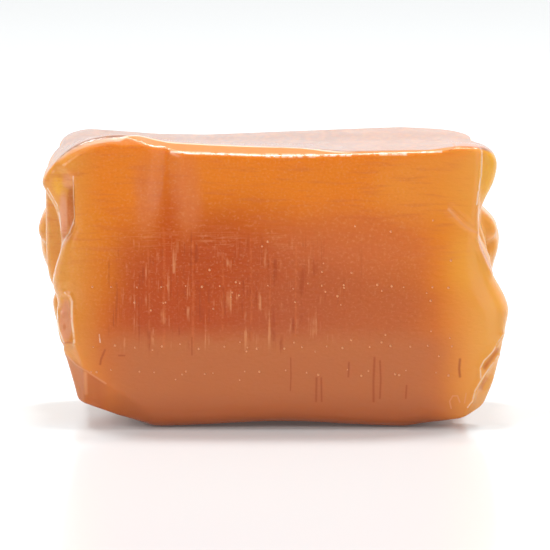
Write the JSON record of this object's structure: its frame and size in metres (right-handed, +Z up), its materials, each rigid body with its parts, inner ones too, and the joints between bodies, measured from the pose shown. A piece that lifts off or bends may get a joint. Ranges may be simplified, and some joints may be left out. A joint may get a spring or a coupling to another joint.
{
  "type": "salted caramel candy",
  "caption": "Soft caramel block with a pinched dent in its front, a gently saddled top and two ends drawn into folds by a twisted wrapper.",
  "frame": {"origin": "under the middle of the box round the whole candy, on the surface that it rests on", "axes": "+X along the candy from its left folded end to its right one, +Y from the dented front to the back, +Z up"},
  "size_m": [0.0304, 0.0153, 0.0187],
  "materials": {
    "caramel": "satin, deep translucent orange-brown caramel"
  },
  "bodies": {
    "root": {"caramel": "caramel"}
  },
  "joints": []
}
